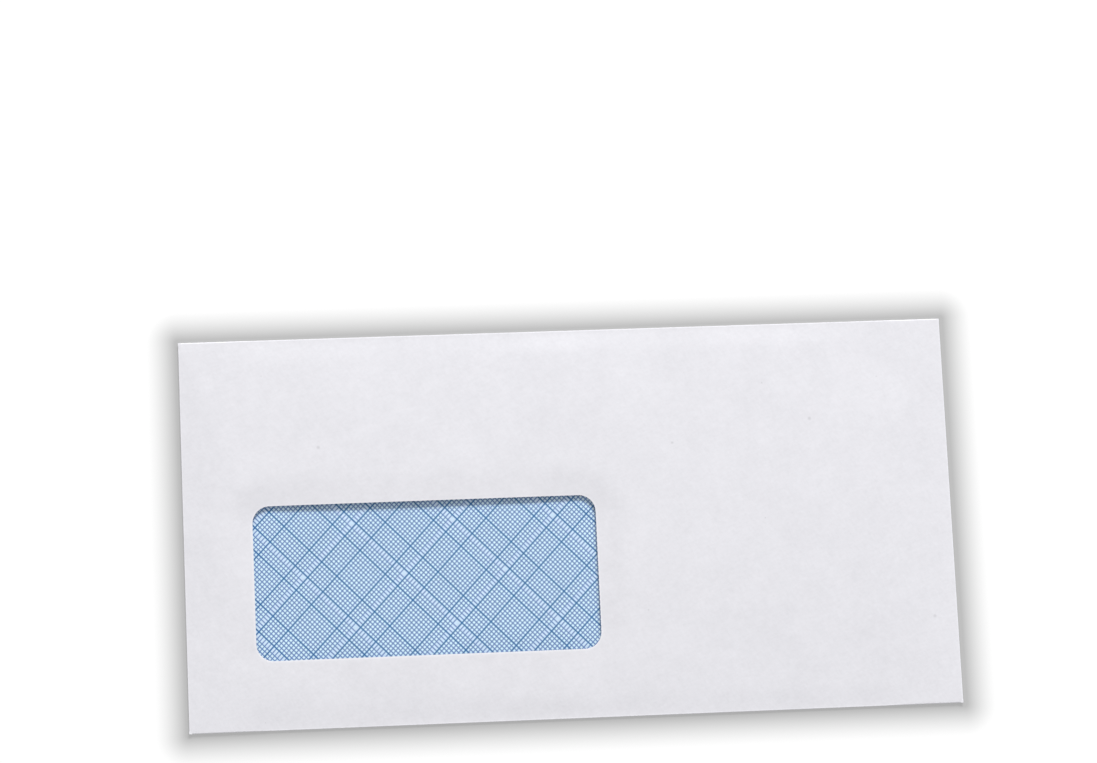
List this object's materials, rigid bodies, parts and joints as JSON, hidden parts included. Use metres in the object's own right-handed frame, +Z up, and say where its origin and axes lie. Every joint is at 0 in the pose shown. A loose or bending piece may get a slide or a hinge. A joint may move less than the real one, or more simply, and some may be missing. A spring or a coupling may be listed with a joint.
{
  "type": "window envelope",
  "caption": "Long paper envelope, closed, with a clear window at lower left, a folded-in flap along the top and printed inner faces.",
  "frame": {"origin": "on the surface that the envelope lies on, below the middle of its outline", "axes": "+X along the length, the window towards -X; +Y towards the top fold, which the seal flap hangs on; +Z up, out of the window side"},
  "size_m": [0.225, 0.114, 0.0016],
  "materials": {
    "paper": "matte",
    "film": "gloss"
  },
  "bodies": {
    "root": {"envelope_sheet": "paper", "window_film": "film"}
  },
  "joints": []
}
